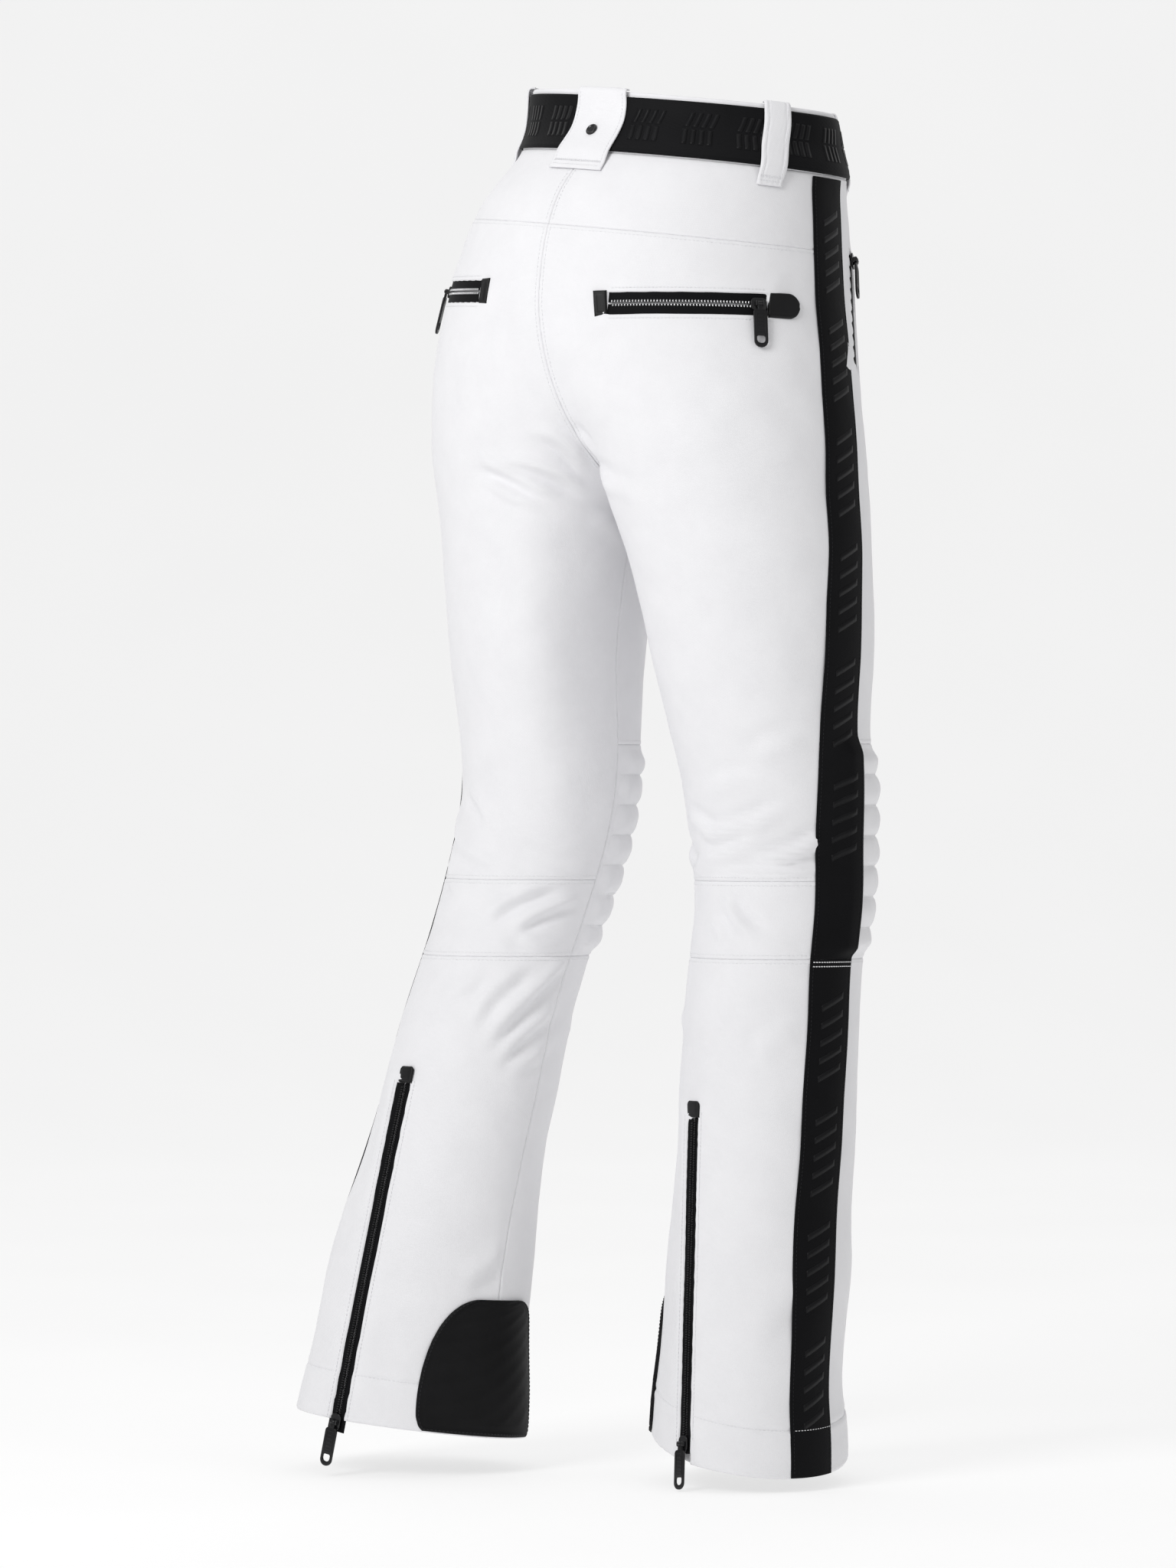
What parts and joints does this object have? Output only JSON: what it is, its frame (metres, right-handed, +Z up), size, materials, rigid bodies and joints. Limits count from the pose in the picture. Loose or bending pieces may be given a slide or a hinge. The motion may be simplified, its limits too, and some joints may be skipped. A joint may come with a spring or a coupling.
{
  "type": "ski pants",
  "caption": "Slim flared ski pants with belt, side stripes, quilted knees, zipped pockets, zipped hems and rubber scuff guards.",
  "frame": {"origin": "centre of the waist opening, level with the middle of the waistband's top edge", "axes": "+Z up out of the waist opening, -Y towards the wearer's front, +Y towards the back, +X towards the wearer's left"},
  "size_m": [0.4009, 0.3371, 1.0394],
  "materials": {
    "shell": "matt woven stretch shell, off-white",
    "padded_shell": "quilted padded shell, off-white",
    "belt_web": "matt black woven elastic with a raised tonal pattern",
    "snap_metal": "satin black",
    "buckle": "satin black",
    "stripe": "flat black coated tape with white cross stitching",
    "guard": "matt black moulded abrasion guard",
    "facing": "black lining cloth",
    "lining": "thin pocket cloth, light grey",
    "rubber_trim": "matt black rubber",
    "teeth_metal": "bright silver zip teeth",
    "zip_tape": "matt black zip tape",
    "zip_hardware": "satin black lacquer"
  },
  "bodies": {
    "upper": {"back_panel_left": "shell", "back_panel_right": "shell", "back_pocket_bags": "lining", "back_pocket_end_tabs": "rubber_trim", "back_pocket_garages": "rubber_trim", "back_pocket_tape_left": "zip_tape", "back_pocket_tape_right": "zip_tape", "back_pocket_teeth_left": "teeth_metal", "back_pocket_teeth_right": "teeth_metal", "back_yoke_left": "shell", "back_yoke_right": "shell", "belt": "belt_web", "belt_buckle_frame": "buckle", "belt_buckle_hook": "buckle", "belt_loops": "shell", "centre_back_loop": "shell", "fly_placket": "shell", "fly_zip_tape": "zip_tape", "front_panel_left": "shell", "front_panel_right": "shell", "front_pocket_bags": "lining", "front_pocket_tape_left": "zip_tape", "front_pocket_tape_right": "zip_tape", "knee_back_panel_left": "shell", "knee_back_panel_right": "shell", "knee_pad_left": "padded_shell", "knee_pad_right": "padded_shell", "loop_snap": "snap_metal", "side_stripe_upper_left": "stripe", "side_stripe_upper_right": "stripe", "waistband": "shell"},
    "shin_left": {"hem_facing_left": "facing", "hem_zip_cap_left": "rubber_trim", "hem_zip_tape_left": "zip_tape", "scuff_guard_left": "guard", "shin_back_panel_left": "shell", "shin_front_panel_left": "shell", "side_stripe_lower_left": "stripe"},
    "shin_right": {"hem_facing_right": "facing", "hem_zip_cap_right": "rubber_trim", "hem_zip_tape_right": "zip_tape", "scuff_guard_right": "guard", "shin_back_panel_right": "shell", "shin_front_panel_right": "shell", "side_stripe_lower_right": "stripe"},
    "back_pocket_zip_left_puller": {"back_pocket_zip_left_puller": "zip_hardware"},
    "back_pocket_zip_left_slider": {"back_pocket_zip_left_slider": "zip_hardware"},
    "back_pocket_zip_right_puller": {"back_pocket_zip_right_puller": "zip_hardware"},
    "back_pocket_zip_right_slider": {"back_pocket_zip_right_slider": "zip_hardware"},
    "fly_zip_puller": {"fly_zip_puller": "zip_hardware"},
    "fly_zip_slider": {"fly_zip_slider": "zip_hardware"},
    "front_pocket_zip_left_puller": {"front_pocket_zip_left_puller": "zip_hardware"},
    "front_pocket_zip_left_slider": {"front_pocket_zip_left_slider": "zip_hardware"},
    "front_pocket_zip_right_puller": {"front_pocket_zip_right_puller": "zip_hardware"},
    "front_pocket_zip_right_slider": {"front_pocket_zip_right_slider": "zip_hardware"},
    "hem_zip_left_puller": {"hem_zip_left_puller": "zip_hardware"},
    "hem_zip_left_slider": {"hem_zip_left_slider": "zip_hardware"},
    "hem_zip_right_puller": {"hem_zip_right_puller": "zip_hardware"},
    "hem_zip_right_slider": {"hem_zip_right_slider": "zip_hardware"}
  },
  "joints": [
    {"name": "back_pocket_zip_left_slide", "type": "hinge", "parent": "upper", "child": "back_pocket_zip_left_slider", "pos_m": [0.03068, -0.00247, -0.14431], "axis": [-0.0626, 0.0376, 0.9973], "range_deg": [0, 38.11]},
    {"name": "back_pocket_zip_left_pull", "type": "hinge", "parent": "back_pocket_zip_left_slider", "child": "back_pocket_zip_left_puller", "pos_m": [0.16218, 0.08241, -0.13814], "axis": [0.539, -0.8398, 0.0655], "range_deg": [0, 150]},
    {"name": "front_pocket_zip_left_slide", "type": "hinge", "parent": "upper", "child": "front_pocket_zip_left_slider", "pos_m": [-0.08095, 0.08597, -0.18377], "axis": [0.324, 0.8196, 0.4726], "range_deg": [0, 17.64]},
    {"name": "front_pocket_zip_left_pull", "type": "hinge", "parent": "front_pocket_zip_left_slider", "child": "front_pocket_zip_left_puller", "pos_m": [0.14978, -0.04908, -0.10819], "axis": [-0.3579, -0.7989, -0.4834], "range_deg": [0, 150]},
    {"name": "hem_zip_left_slide", "type": "hinge", "parent": "shin_left", "child": "hem_zip_left_slider", "pos_m": [0.67837, -0.51304, -0.95638], "axis": [0.7931, 0.5794, 0.1876], "range_deg": [0, 15.71]},
    {"name": "hem_zip_left_pull", "type": "hinge", "parent": "hem_zip_left_slider", "child": "hem_zip_left_puller", "pos_m": [0.152, 0.22057, -0.98253], "axis": [0.9817, 0.0736, 0.1756], "range_deg": [0, 150]},
    {"name": "back_pocket_zip_right_slide", "type": "hinge", "parent": "upper", "child": "back_pocket_zip_right_slider", "pos_m": [-0.00781, -0.00775, -0.1651], "axis": [0.0092, 0.0176, -0.9998], "range_deg": [0, 38.37]},
    {"name": "back_pocket_zip_right_pull", "type": "hinge", "parent": "back_pocket_zip_right_slider", "child": "back_pocket_zip_right_puller", "pos_m": [-0.14159, 0.08414, -0.16378], "axis": [0.5662, 0.824, 0.0197], "range_deg": [0, 150]},
    {"name": "front_pocket_zip_right_slide", "type": "hinge", "parent": "upper", "child": "front_pocket_zip_right_slider", "pos_m": [-0.00432, -1.64687, -0.85332], "axis": [-0.9444, -0.1926, 0.2665], "range_deg": [0, 2.63]},
    {"name": "front_pocket_zip_right_pull", "type": "hinge", "parent": "front_pocket_zip_right_slider", "child": "front_pocket_zip_right_puller", "pos_m": [-0.12995, -0.04614, -0.12312], "axis": [-0.3845, 0.7891, 0.4791], "range_deg": [0, 150]},
    {"name": "hem_zip_right_slide", "type": "slide", "parent": "shin_right", "child": "hem_zip_right_slider", "axis": [0.1002, -0.1663, 0.981], "range_m": [0, 0.22868]},
    {"name": "hem_zip_right_pull", "type": "hinge", "parent": "hem_zip_right_slider", "child": "hem_zip_right_puller", "pos_m": [-0.09502, 0.11843, -0.9892], "axis": [0.9754, -0.1805, -0.1269], "range_deg": [0, 150]},
    {"name": "fly_zip_slide", "type": "hinge", "parent": "upper", "child": "fly_zip_slider", "pos_m": [-0.1279, 0.09048, -0.11438], "axis": [0.8138, 0.5786, 0.0537], "range_deg": [0, 21.16]},
    {"name": "fly_zip_pull", "type": "hinge", "parent": "fly_zip_slider", "child": "fly_zip_puller", "pos_m": [0.00486, -0.10526, -0.05999], "axis": [-0.9846, -0.0026, -0.1747], "range_deg": [0, 3]},
    {"name": "knee_left", "type": "hinge", "parent": "upper", "child": "shin_left", "pos_m": [0.10824, 0.07766, -0.6115], "axis": [1, 0, 0], "range_deg": [0, 60], "deforming": ["knee_pad_left", "knee_back_panel_left", "side_stripe_upper_left"]},
    {"name": "knee_right", "type": "hinge", "parent": "upper", "child": "shin_right", "pos_m": [-0.08912, 0.00879, -0.6115], "axis": [1, 0, 0], "range_deg": [0, 60], "deforming": ["knee_pad_right", "knee_back_panel_right", "side_stripe_upper_right"]}
  ]
}
